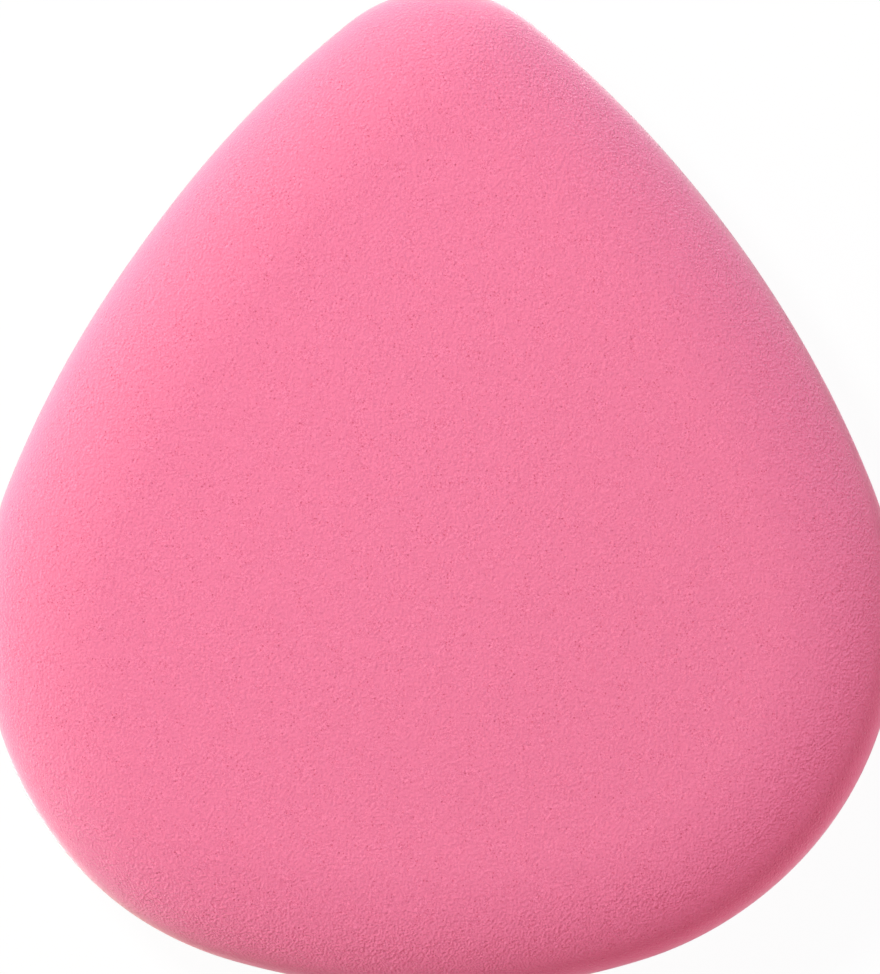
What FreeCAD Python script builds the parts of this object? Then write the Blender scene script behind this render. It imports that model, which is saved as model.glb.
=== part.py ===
"""Flat teardrop makeup sponge: one piece of fine open-cell foam with a full-round rim.

Lengths are in millimetres, with +Z up. The sponge lies on its flat underside with its tip towards +Y.
The origin is on the underside, in the middle of the overall length and width.
"""

import FreeCAD
import Part
import math
import os

# Overall size of the sponge
LENGTH = 66.0
WIDTH = 60.4
THICKNESS = 13.2

# Radii of the outline seen from above: round tip, gently bowed flanks, full sides and broad base
TIP_RADIUS = 9.5
FLANK_RADIUS = 74.5
SIDE_RADIUS = 23.6
BASE_RADIUS = 46.0

# The flat faces have a tip of their own, smaller than the outline's by the width of the rim
FACE_TIP_RADIUS = 1.0
RIM_WIDTH = TIP_RADIUS - FACE_TIP_RADIUS

# Each half of the rim turns a quarter circle in two arcs: a wide shoulder off the flat face for this
# part of the turn, then a tighter round down to the middle of the thickness
SHOULDER_TURN = math.radians(20)
QUARTER_TURN = math.radians(90)

HALF_THICKNESS = THICKNESS / 2
UP = FreeCAD.Vector(0, 0, 1)


class OutlineArc:
    """One arc of the outline, run anticlockwise about its centre. Angles are in radians."""

    def __init__(self, centre, radius, start, end):
        self.centre = centre
        self.radius = radius
        self.start = start
        self.end = end

    def point(self, angle, inset, height):
        """The point at an angle along the arc, moved towards the centre by inset and lifted to height."""
        reach = self.radius - inset
        return self.centre + FreeCAD.Vector(reach * math.cos(angle), reach * math.sin(angle), height)


def direction(start, end):
    """The angle in the XY plane of the line from one centre to another."""
    return math.atan2(end.y - start.y, end.x - start.x)


def flank_centre(side_centre, tip_centre):
    """The centre of the right flank's arc, which touches the side circle and the tip circle from outside."""
    to_side = FLANK_RADIUS - SIDE_RADIUS
    to_tip = FLANK_RADIUS - TIP_RADIUS
    along = tip_centre - side_centre
    gap = along.Length
    along.normalize()
    foot = (to_side**2 - to_tip**2 + gap**2) / (2 * gap)
    off = math.sqrt(to_side**2 - foot**2)
    across = FreeCAD.Vector(-along.y, along.x, 0)
    return side_centre + along * foot + across * off


def mirrored(arc):
    """An arc of the right half taken across the sponge's long axis to the left half."""
    centre = FreeCAD.Vector(-arc.centre.x, arc.centre.y, arc.centre.z)
    return OutlineArc(centre, arc.radius, math.pi - arc.end, math.pi - arc.start)


def outline():
    """The six tangent arcs of the outline, anticlockwise from the base."""
    base_centre = FreeCAD.Vector(0, BASE_RADIUS - LENGTH / 2, 0)
    tip_centre = FreeCAD.Vector(0, LENGTH / 2 - TIP_RADIUS, 0)
    side_out = WIDTH / 2 - SIDE_RADIUS
    side_down = math.sqrt((BASE_RADIUS - SIDE_RADIUS) ** 2 - side_out**2)
    side_centre = FreeCAD.Vector(side_out, base_centre.y - side_down, 0)
    bow_centre = flank_centre(side_centre, tip_centre)

    base_to_side = direction(base_centre, side_centre)
    side_to_flank = direction(bow_centre, side_centre)
    flank_to_tip = direction(bow_centre, tip_centre)
    base = OutlineArc(base_centre, BASE_RADIUS, -math.pi - base_to_side, base_to_side)
    side = OutlineArc(side_centre, SIDE_RADIUS, base_to_side, side_to_flank)
    flank = OutlineArc(bow_centre, FLANK_RADIUS, side_to_flank, flank_to_tip)
    tip = OutlineArc(tip_centre, TIP_RADIUS, flank_to_tip, math.pi - flank_to_tip)
    return [base, side, flank, tip, mirrored(flank), mirrored(side)]


def rim_radii():
    """The radii of the shoulder and the round, which together span the rim's width and half the thickness."""
    sine = math.sin(SHOULDER_TURN)
    cosine = math.cos(SHOULDER_TURN)
    spread = sine * cosine - (1 - sine) * (1 - cosine)
    shoulder_radius = (RIM_WIDTH * cosine - HALF_THICKNESS * (1 - sine)) / spread
    round_radius = (HALF_THICKNESS * sine - RIM_WIDTH * (1 - cosine)) / spread
    return shoulder_radius, round_radius


def rim_half(arc, toward_face):
    """Half of the rim along one outline arc: its section of two tangent arcs, turned about the arc's centre.

    toward_face is 1 for the half that meets the upper face and -1 for the half that meets the underside.
    """
    shoulder_radius, round_radius = rim_radii()

    def shoulder_point(turn):
        inset = RIM_WIDTH - shoulder_radius * math.sin(turn)
        rise = HALF_THICKNESS - shoulder_radius * (1 - math.cos(turn))
        return arc.point(arc.start, inset, HALF_THICKNESS + toward_face * rise)

    def round_point(turn):
        inset = round_radius * (1 - math.sin(turn))
        rise = round_radius * math.cos(turn)
        return arc.point(arc.start, inset, HALF_THICKNESS + toward_face * rise)

    shoulder_turns = (0, SHOULDER_TURN / 2, SHOULDER_TURN)
    round_turns = (SHOULDER_TURN, (SHOULDER_TURN + QUARTER_TURN) / 2, QUARTER_TURN)
    shoulder = Part.Arc(*[shoulder_point(turn) for turn in shoulder_turns]).toShape()
    round_over = Part.Arc(*[round_point(turn) for turn in round_turns]).toShape()
    section = Part.Wire([shoulder, round_over])
    return section.revolve(arc.centre, UP, math.degrees(arc.end - arc.start)).Faces


def flat_face(arcs, height):
    """The flat face at a height, bounded by the outline moved inwards by the width of the rim."""
    edges = []
    for arc in arcs:
        halfway = (arc.start + arc.end) / 2
        points = [arc.point(angle, RIM_WIDTH, height) for angle in (arc.start, halfway, arc.end)]
        edges.append(Part.Arc(*points).toShape())
    return Part.Face(Part.Wire(edges))


def sponge_body():
    """The whole sponge: two flat faces joined by the rolled rim."""
    arcs = outline()
    faces = [flat_face(arcs, 0), flat_face(arcs, THICKNESS)]
    for toward_face in (-1, 1):
        for arc in arcs:
            faces.extend(rim_half(arc, toward_face))
    shell = Part.Shell(faces)
    shell.sewShape()
    solid = Part.Solid(shell)
    if solid.Volume < 0:
        solid.reverse()
    return solid


os.makedirs("parts", exist_ok=True)
sponge_body().exportStep("parts/sponge_body.step")
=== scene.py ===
"""Pink flat teardrop makeup sponge, lying on a white table and seen from straight above.

Lengths are in metres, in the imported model's frame: +Z up, tip towards +Y, underside on Z = 0.
"""

import bpy
import numpy as np
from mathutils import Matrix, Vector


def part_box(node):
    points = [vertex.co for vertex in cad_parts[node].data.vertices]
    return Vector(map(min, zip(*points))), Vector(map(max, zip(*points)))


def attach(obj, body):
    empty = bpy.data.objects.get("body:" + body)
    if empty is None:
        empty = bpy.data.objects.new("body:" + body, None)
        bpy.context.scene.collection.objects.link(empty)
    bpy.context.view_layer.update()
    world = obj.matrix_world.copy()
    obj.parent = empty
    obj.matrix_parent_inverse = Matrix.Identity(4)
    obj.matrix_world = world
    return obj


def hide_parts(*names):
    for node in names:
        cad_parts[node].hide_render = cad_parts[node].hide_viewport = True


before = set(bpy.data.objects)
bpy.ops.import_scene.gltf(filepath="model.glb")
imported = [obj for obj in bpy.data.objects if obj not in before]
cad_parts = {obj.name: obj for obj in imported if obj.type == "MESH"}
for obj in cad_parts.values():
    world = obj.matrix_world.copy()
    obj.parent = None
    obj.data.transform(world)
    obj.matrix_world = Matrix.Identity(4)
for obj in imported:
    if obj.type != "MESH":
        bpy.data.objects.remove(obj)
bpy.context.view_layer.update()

# Foam body
# The whole sponge is one block of fine open-cell foam, moulded as a flat teardrop with a rolled rim.
# Nothing is sewn, glued or fixed to it, and it lies loose on its flat underside.

low_corner, high_corner = (np.array(corner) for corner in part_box("sponge_body"))
SPONGE_WIDTH, SPONGE_LENGTH, SPONGE_THICKNESS = high_corner - low_corner
HALF_THICKNESS = SPONGE_THICKNESS / 2

# Radii of the outline seen from above
TIP_RADIUS = 0.0095
FLANK_RADIUS = 0.0745
SIDE_RADIUS = 0.0236
BASE_RADIUS = 0.0460

# The rim's section bends gently off the flat face, and tightens towards the middle of the thickness:
# how much is added to the radius of the bend at the face, how fast that falls off as the section turns
# down, and in how many steps the turn is added up
RIM_WIDTH = 0.0085
SHOULDER_EASE = 6.0
SHOULDER_FALL = 8
TURN_STEPS = 720

# The moulded outline is a little uneven: where it swells or dips, seen from the middle of the sponge, as the
# direction and the spread in degrees, and how far it moves out
UNEVEN_PLACES = [
    (232, 11, 0.00028),
    (308, 10, -0.00010),
    (140, 14, -0.00012),
    (50, 20, -0.00008),
]

# Grid steps from the middle of a face out to the middle of the rim, and the share of them on the face
GRID_STEPS = 96
FACE_STEPS_SHARE = 0.6

# The way round a square ring of the grid is counted in half sides, anticlockwise from its lower right
# corner: where the middles of its four sides lie, and how long the whole way is
RIGHT, TOP, LEFT, BOTTOM = 1, 3, 5, 7
WHOLE_RING = 8


def outline_arcs():
    """The six tangent arcs of the outline, anticlockwise from the base: centres, radii, starts and ends.

    Centres are complex numbers, x + iy, and starts and ends are directions seen from them. Two arcs that
    touch have the touching point in line with both centres, so the direction of that line is where one arc
    ends and the next one starts.
    """
    base = 1j * (BASE_RADIUS - SPONGE_LENGTH / 2)
    tip = 1j * (SPONGE_LENGTH / 2 - TIP_RADIUS)
    side_out = SPONGE_WIDTH / 2 - SIDE_RADIUS
    side = base + side_out - 1j * np.sqrt((BASE_RADIUS - SIDE_RADIUS) ** 2 - side_out**2)
    to_side = FLANK_RADIUS - SIDE_RADIUS
    to_tip = FLANK_RADIUS - TIP_RADIUS
    gap = abs(tip - side)
    foot = (to_side**2 - to_tip**2 + gap**2) / (2 * gap)
    flank = side + (tip - side) / gap * (foot + 1j * np.sqrt(to_side**2 - foot**2))

    touches = np.angle([side - base, side - flank, tip - flank])
    ends = np.concatenate([touches, np.pi - touches[::-1]])
    starts = np.concatenate([[ends[-1] - 2 * np.pi], ends[:-1]])
    centres = np.array([base, side, flank, tip, -flank.conjugate(), -side.conjugate()])
    radii = np.array([BASE_RADIUS, SIDE_RADIUS, FLANK_RADIUS, TIP_RADIUS, FLANK_RADIUS, SIDE_RADIUS])
    return centres, radii, starts, ends


def outline(shares):
    """Points of the outline and the directions they face, for shares of the way round from the base's start.

    Each arc takes up its own length. A point is its arc's centre plus the radius in the direction faced.
    At each uneven place it moves on in that direction, by a bell curve of how far round the place is.
    """
    centres, radii, starts, ends = outline_arcs()
    lengths = radii * (ends - starts)
    reached = np.concatenate([[0], np.cumsum(lengths)])
    along = (shares % 1) * reached[-1]
    arc = np.clip(np.searchsorted(reached, along, side="right") - 1, 0, len(radii) - 1)
    facing = np.exp(1j * (starts[arc] + (along - reached[arc]) / radii[arc]))
    points = centres[arc] + radii[arc] * facing
    moved = np.zeros(points.shape)
    for direction, spread, move in UNEVEN_PLACES:
        off_place = np.angle(points * np.exp(-1j * np.radians(direction)), deg=True)
        moved += move * np.exp(-((off_place / spread) ** 2) / 2)
    return points + moved * facing, facing


def rim_section(shares):
    """How far in and how high the rim lies, for shares of the way from the flat face to the rim's middle.

    The radius of the bend falls smoothly from the face to the middle of the rim. Adding up small steps
    of that radius along the turn gives the section, which is then stretched to its width and height.
    """
    turn = np.linspace(0, np.pi / 2, TURN_STEPS + 1)
    bend = 1 + SHOULDER_EASE * np.cos(turn) ** SHOULDER_FALL
    middle = (turn[1:] + turn[:-1]) / 2
    step = (bend[1:] + bend[:-1]) / 2
    out = np.concatenate([[0], np.cumsum(step * np.cos(middle))])
    down = np.concatenate([[0], np.cumsum(step * np.sin(middle))])
    travel = np.concatenate([[0], np.cumsum(np.hypot(np.diff(out), np.diff(down)))])
    inset = RIM_WIDTH * (1 - out / out[-1])
    rise = HALF_THICKNESS * (1 - down / down[-1])
    at = shares * travel[-1]
    return np.interp(at, travel, inset), np.interp(at, travel, rise)


def half_grid():
    """One half of the sponge as a square grid: x, y, and height above the middle of the thickness.

    Each square ring of the grid runs once round the sponge, and starts at the middle of its bottom side.
    The inner rings shrink the flat face's edge towards the middle, and the outer rings follow the rim's
    section down to its middle.
    """
    steps = np.arange(-GRID_STEPS, GRID_STEPS + 1)
    across, up = np.meshgrid(steps, steps)
    ring = np.maximum(abs(across), abs(up))
    half_side = np.maximum(ring, 1)
    way_round = np.where(
        abs(across) >= abs(up),
        np.where(across >= 0, RIGHT + up / half_side, LEFT - up / half_side),
        np.where(up >= 0, TOP - across / half_side, BOTTOM + across / half_side),
    )
    edge, facing = outline((way_round - BOTTOM) / WHOLE_RING)
    out_share = ring / GRID_STEPS
    face_share = np.minimum(out_share / FACE_STEPS_SHARE, 1)
    rim_share = np.maximum((out_share - FACE_STEPS_SHARE) / (1 - FACE_STEPS_SHARE), 0)
    inset, rise = rim_section(rim_share)
    spot = (edge - inset * facing) * face_share
    return spot.real, spot.imag, rise


def sponge_mesh():
    """The upper and lower halves of the sponge, joined round the middle of the rim into one closed mesh.

    The lower half is the upper one mirrored across the middle of the thickness. The two share the points of
    the outermost ring, and the lower half's faces run the other way round, so that they point outwards.
    """
    x, y, rise = half_grid()
    side = x.shape[0]
    upper = np.arange(side * side).reshape(side, side)
    inside = np.zeros((side, side), bool)
    inside[1:-1, 1:-1] = True
    lower = upper.copy()
    lower[inside] = side * side + np.arange(inside.sum())

    top = np.stack([x, y, HALF_THICKNESS + rise], axis=-1).reshape(-1, 3)
    bottom = np.stack([x, y, HALF_THICKNESS - rise], axis=-1)[inside]
    upper_faces, lower_faces = (
        np.stack([grid[:-1, :-1], grid[:-1, 1:], grid[1:, 1:], grid[1:, :-1]], axis=-1).reshape(-1, 4)
        for grid in (upper, lower)
    )
    mesh = bpy.data.meshes.new("foam_body")
    mesh.from_pydata(np.concatenate([top, bottom]), [], np.concatenate([upper_faces, lower_faces[:, ::-1]]))
    mesh.shade_smooth()
    return mesh


# Foam cells, which differ more in some patches than in others
CELL_PITCH = 0.000060
CELL_SHADE_SHARE = 0.30
PATCH_PITCH = 0.0012
PATCH_NOISE_SHARES = (0.35, 0.65)
PATCH_CONTRAST_SHARES = (0.3, 1.7)

# Pinholes where a cell has broken open, in only some of the places that could have one. Their dip darkens
# the colour as painted shade in the pits, and sinks the relief there
PINHOLE_PITCH = 0.00026
PINHOLE_SIZE_SHARES = (0.05, 0.28)
PINHOLE_CHANCE_SHARES = (0.45, 0.75)
PINHOLE_PIT_AND_PAINTED_SHADE_SHARE = 1.1

# The surface is dimpled, and a share of the grain of cells and pinholes is added to the dimples' relief
DIMPLE_PITCH = 0.00018
DIMPLE_DEPTH = 0.00008
GRAIN_DEPTH_SHARE = 0.3

# The pores fade towards the middle of the rim, between these heights from the middle of the thickness
FADE_LEVELS = (0.0015, 0.0040)
FADE_SHARE = 0.2

# The foam's colour in its deepest pores, which is painted shade in the pores, and on its cell walls, and
# where between them it lies on average
PORE_PAINTED_SHADE_COLOR = (0.720, 0.124, 0.235, 1)
WALL_COLOR = (0.918, 0.273, 0.454, 1)
MEAN_SHADE_SHARE = 0.72

# A matt finish with next to no gloss, and a pale sheen where the fuzz of cell walls is seen at a low angle
DIFFUSE_ROUGHNESS = 1.0
GLOSS_ROUGHNESS = 0.5
GLOSS_LEVEL = 0.05
SHEEN_WEIGHT = 0.62
SHEEN_ROUGHNESS = 0.3
SHEEN_COLOR = (1, 0.91, 0.89, 1)


def add_node(tree, kind, inputs=None, **settings):
    """A shader node with its settings, and its inputs set to values or linked from other sockets."""
    node = tree.nodes.new(kind)
    for name, value in settings.items():
        setattr(node, name, value)
    for name, value in (inputs or {}).items():
        if isinstance(value, bpy.types.NodeSocket):
            tree.links.new(value, node.inputs[name])
        else:
            node.inputs[name].default_value = value
    return node


def math_value(tree, operation, *values):
    """The result of a Math node, worked out from numbers or from other nodes' results."""
    return add_node(tree, "ShaderNodeMath", dict(enumerate(values)), operation=operation).outputs["Value"]


def range_value(tree, value, old_ends, new_ends, interpolation="LINEAR"):
    """A value carried from one range to another by a Map Range node, and held at the ends of the new one."""
    inputs = {
        "Value": value,
        "From Min": old_ends[0],
        "From Max": old_ends[1],
        "To Min": new_ends[0],
        "To Max": new_ends[1],
    }
    return add_node(tree, "ShaderNodeMapRange", inputs, interpolation_type=interpolation).outputs["Result"]


def foam_material():
    """Pink foam, with its colour and its relief worked out from the place on the sponge.

    The grain is a random tone for each cell, less a soft round dip at some pinholes, which in the colour is
    painted shade in the pits. The colour's shade is its mean plus the grain times the contrast, which is the
    patch's own times the fade, and runs from the pores' painted shade to the walls' colour. The relief is
    the distance from the middle of the dimple plus a share of the grain, all times the fade. The fade falls
    from 1 on the faces to its share at the middle of the rim.
    """
    material = bpy.data.materials.new("pink_foam")
    material.use_nodes = True
    tree = material.node_tree
    tree.nodes.clear()
    place = add_node(tree, "ShaderNodeTexCoord").outputs["Object"]
    cells, pinholes, dimples = (
        add_node(tree, "ShaderNodeTexVoronoi", {"Vector": place, "Scale": 1 / pitch}).outputs
        for pitch in (CELL_PITCH, PINHOLE_PITCH, DIMPLE_PITCH)
    )
    patches = add_node(tree, "ShaderNodeTexNoise", {"Vector": place, "Scale": 1 / PATCH_PITCH}).outputs

    cell_shade = range_value(tree, cells["Color"], (0, 1), (-CELL_SHADE_SHARE, CELL_SHADE_SHARE))
    # The pinholes' dip is painted shade in the pits in the colour, and sinks the pits in the relief
    pinhole_pit_and_painted_shades = (-PINHOLE_PIT_AND_PAINTED_SHADE_SHARE, 0)
    pinhole_pit_and_painted_shade = range_value(tree, pinholes["Distance"], PINHOLE_SIZE_SHARES, pinhole_pit_and_painted_shades, "SMOOTHSTEP")
    pinhole_chance = range_value(tree, pinholes["Color"], PINHOLE_CHANCE_SHARES, (0, 1))
    grain = math_value(tree, "MULTIPLY_ADD", pinhole_pit_and_painted_shade, pinhole_chance, cell_shade)

    level = add_node(tree, "ShaderNodeSeparateXYZ", {"Vector": place}).outputs["Z"]
    from_middle = math_value(tree, "ABSOLUTE", math_value(tree, "SUBTRACT", level, HALF_THICKNESS))
    fade = range_value(tree, from_middle, FADE_LEVELS, (FADE_SHARE, 1))

    patch = range_value(tree, patches["Fac"], PATCH_NOISE_SHARES, PATCH_CONTRAST_SHARES)
    contrast = math_value(tree, "MULTIPLY", patch, fade)
    shade = math_value(tree, "MULTIPLY_ADD", grain, contrast, MEAN_SHADE_SHARE)
    tint = add_node(tree, "ShaderNodeValToRGB", {"Fac": shade})
    # The ramp's dark end is the painted shade of the pores
    tint.color_ramp.elements[0].color = PORE_PAINTED_SHADE_COLOR
    tint.color_ramp.elements[1].color = WALL_COLOR

    dips = math_value(tree, "MULTIPLY_ADD", grain, GRAIN_DEPTH_SHARE, dimples["Distance"])
    height = math_value(tree, "MULTIPLY", dips, fade)
    relief = add_node(tree, "ShaderNodeBump", {"Distance": DIMPLE_DEPTH, "Height": height})

    surface = add_node(
        tree,
        "ShaderNodeBsdfPrincipled",
        {
            "Base Color": tint.outputs["Color"],
            "Diffuse Roughness": DIFFUSE_ROUGHNESS,
            "Roughness": GLOSS_ROUGHNESS,
            "Specular IOR Level": GLOSS_LEVEL,
            "Sheen Weight": SHEEN_WEIGHT,
            "Sheen Roughness": SHEEN_ROUGHNESS,
            "Sheen Tint": SHEEN_COLOR,
            "Normal": relief.outputs["Normal"],
        },
    )
    add_node(tree, "ShaderNodeOutputMaterial", {"Surface": surface.outputs["BSDF"]})
    return material


foam_body = bpy.data.objects.new("foam_body", sponge_mesh())
bpy.context.scene.collection.objects.link(foam_body)
foam_body.data.materials.append(foam_material())
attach(foam_body, "root")
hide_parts("sponge_body")

# Table
# A wide flat top painted matt white, which the sponge lies on. It is the setting, and no part of the sponge.
# It lies a hair below the underside, so that the two don't share a plane, and shows as white with a shadow.

TABLE_SIZE = 3.0
TABLE_DROP = 0.00002
TABLE_COLOR = (0.9, 0.9, 0.9, 1)
TABLE_WHITE_SHARE = 0.96
WHITE = (1, 1, 1, 1)
WHITE_STRENGTH = 1.0


def table_material():
    """White paint. The camera, a mirror or glass sees mostly even white in it, and the rest is lit paint."""
    material = bpy.data.materials.new("white_table")
    material.use_nodes = True
    tree = material.node_tree
    tree.nodes.clear()
    path = add_node(tree, "ShaderNodeLightPath").outputs
    direct = math_value(tree, "MAXIMUM", path["Is Camera Ray"], path["Is Glossy Ray"])
    seen = math_value(tree, "MAXIMUM", direct, path["Is Transmission Ray"])
    white_share = math_value(tree, "MULTIPLY", seen, TABLE_WHITE_SHARE)
    paint = add_node(tree, "ShaderNodeBsdfDiffuse", {"Color": TABLE_COLOR}).outputs["BSDF"]
    glow = add_node(tree, "ShaderNodeEmission", {"Color": WHITE, "Strength": WHITE_STRENGTH})
    both = add_node(
        tree, "ShaderNodeMixShader", {"Fac": white_share, 1: paint, 2: glow.outputs["Emission"]}
    )
    add_node(tree, "ShaderNodeOutputMaterial", {"Surface": both.outputs["Shader"]})
    return material


half_table = TABLE_SIZE / 2
table_corners = [
    (-half_table, -half_table, -TABLE_DROP),
    (half_table, -half_table, -TABLE_DROP),
    (half_table, half_table, -TABLE_DROP),
    (-half_table, half_table, -TABLE_DROP),
]
table_mesh = bpy.data.meshes.new("table")
table_mesh.from_pydata(table_corners, [], [(0, 1, 2, 3)])
table_mesh.materials.append(table_material())
table = bpy.data.objects.new("table", table_mesh)
bpy.context.scene.collection.objects.link(table)

# Light
# A soft box stands at the upper left of the picture, with a second one beside it and a low one behind it.
# A pink fill at the lower right and weak low lamps at the upper right and lower left lighten the shade.

# The tints keep the light side pale and turn the shade to a deeper pink
COOL_WHITE = (0.89, 0.98, 1)
PALE_BLUE = (0.71, 0.98, 1)
PALE_YELLOW = (0.91, 1, 0.59)
PINK = (1, 0.47, 0.55)

# Each lamp's name, its direction round the picture and its height in degrees, then how far off it is,
# its width, its power and its colour
LAMPS = [
    ("key", 135, 52, 0.38, 0.08, 1.41, COOL_WHITE),
    ("side", 162, 28, 0.35, 0.20, 0.53, PALE_YELLOW),
    ("low", 135, 5, 0.60, 0.10, 1.28, PALE_YELLOW),
    ("fill", 315, 20, 0.60, 0.35, 2.37, PINK),
    ("right", 35, 15, 0.60, 0.35, 1.30, PALE_BLUE),
    ("left", 235, 15, 0.60, 0.35, 0.65, PALE_BLUE),
]

for name, direction, height, distance, width, power, color in LAMPS:
    lamp_data = bpy.data.lights.new(name, "AREA")
    lamp_data.shape = "DISK"
    lamp_data.size = width
    lamp_data.energy = power
    lamp_data.color = color
    lamp = bpy.data.objects.new(name, lamp_data)
    across, up = np.radians([direction, height])
    toward = np.array([np.cos(across) * np.cos(up), np.sin(across) * np.cos(up), np.sin(up)])
    lamp.location = distance * toward
    lamp.rotation_euler = lamp.location.to_track_quat("Z", "Y").to_euler()
    bpy.context.scene.collection.objects.link(lamp)

# The room shows as plain white, and gives only a trace of even light
ROOM_STRENGTH = 0.016

room = bpy.data.worlds.new("room")
room.use_nodes = True
room_tree = room.node_tree
room_tree.nodes.clear()
room_seen = add_node(room_tree, "ShaderNodeLightPath").outputs["Is Camera Ray"]
room_light, room_white = (
    add_node(room_tree, "ShaderNodeBackground", {"Color": WHITE, "Strength": strength}).outputs["Background"]
    for strength in (ROOM_STRENGTH, WHITE_STRENGTH)
)
room_both = add_node(room_tree, "ShaderNodeMixShader", {"Fac": room_seen, 1: room_light, 2: room_white})
add_node(room_tree, "ShaderNodeOutputWorld", {"Surface": room_both.outputs["Shader"]})
bpy.context.scene.world = room

# Camera
# It looks straight down at the sponge from well above, with the tip at the top of the picture.
# The frame cuts off a little of the tip, the base and both sides.

SENSOR_SIZE = 0.036
CAMERA_DISTANCE = 0.6
PICTURE_HEIGHT = 0.0643
AIM_Y = 0.00022
MILLIMETRES_PER_METRE = 1000

camera_data = bpy.data.cameras.new("camera")
camera_data.sensor_width = SENSOR_SIZE * MILLIMETRES_PER_METRE
camera_data.lens = camera_data.sensor_width * CAMERA_DISTANCE / PICTURE_HEIGHT
camera = bpy.data.objects.new("camera", camera_data)
camera.location = (0, AIM_Y, HALF_THICKNESS + CAMERA_DISTANCE)
bpy.context.scene.collection.objects.link(camera)
bpy.context.scene.camera = camera

bpy.context.scene.view_settings.view_transform = "Standard"
